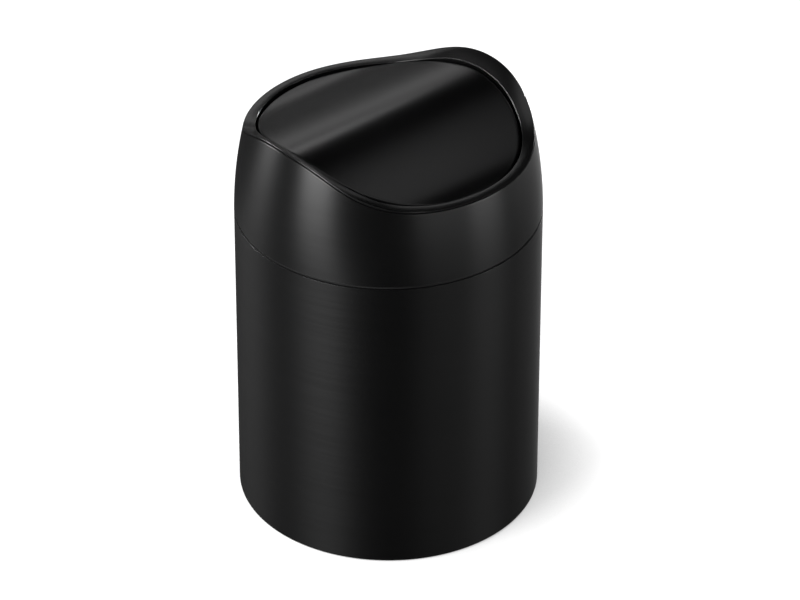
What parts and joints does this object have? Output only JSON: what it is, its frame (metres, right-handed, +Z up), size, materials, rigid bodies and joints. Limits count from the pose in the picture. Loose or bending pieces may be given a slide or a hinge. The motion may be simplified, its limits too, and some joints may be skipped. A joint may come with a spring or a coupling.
{
  "type": "countertop trash can",
  "caption": "Small round countertop trash can with a barrel-shaped lift-off top and a waved swing lid that closes by itself.",
  "frame": {"origin": "centre of the base, on the surface that the can stands on", "axes": "+Z is up, +X is the lid's pivot line towards its right end, -Y is the front"},
  "size_m": [0.124, 0.124, 0.1803],
  "materials": {
    "shell_steel": "satin black enamel on rolled steel",
    "lid_black": "satin black, painted to match the steel",
    "frame_black": "satin moulded black",
    "inner_black": "fine moulded texture",
    "pan_steel": "satin black enamel on pressed steel",
    "pad_rubber": "matt rubber",
    "pin_steel": "turned steel",
    "screw_zinc": "zinc plated",
    "bush_nylon": "natural nylon",
    "weight_steel": "sawn bar with a light oil"
  },
  "bodies": {
    "can": {"body_sleeve": "shell_steel", "base_pan": "pan_steel", "base_ring": "inner_black", "foot_pad_1": "pad_rubber", "foot_pad_2": "pad_rubber", "foot_pad_3": "pad_rubber", "foot_pad_4": "pad_rubber"},
    "top": {"collar_skin": "shell_steel", "rim_frame": "frame_black", "spigot_ring": "inner_black", "frame_screws": "screw_zinc", "pivot_bush_left": "bush_nylon", "pivot_bush_right": "bush_nylon"},
    "lid": {"lid_panel": "lid_black", "lid_backing": "inner_black", "lid_screws": "screw_zinc", "pivot_pin_left": "pin_steel", "pivot_pin_right": "pin_steel", "return_weight": "weight_steel", "weight_screws": "screw_zinc"}
  },
  "joints": [
    {"name": "top_lift", "type": "slide", "parent": "can", "child": "top", "axis": [0, 0, 1], "range_m": [0, 0.06]},
    {"name": "lid_swing", "type": "hinge", "parent": "top", "child": "lid", "pos_m": [0, 0, 0.17145], "axis": [1, 0, 0], "range_deg": [-80, 80]}
  ]
}
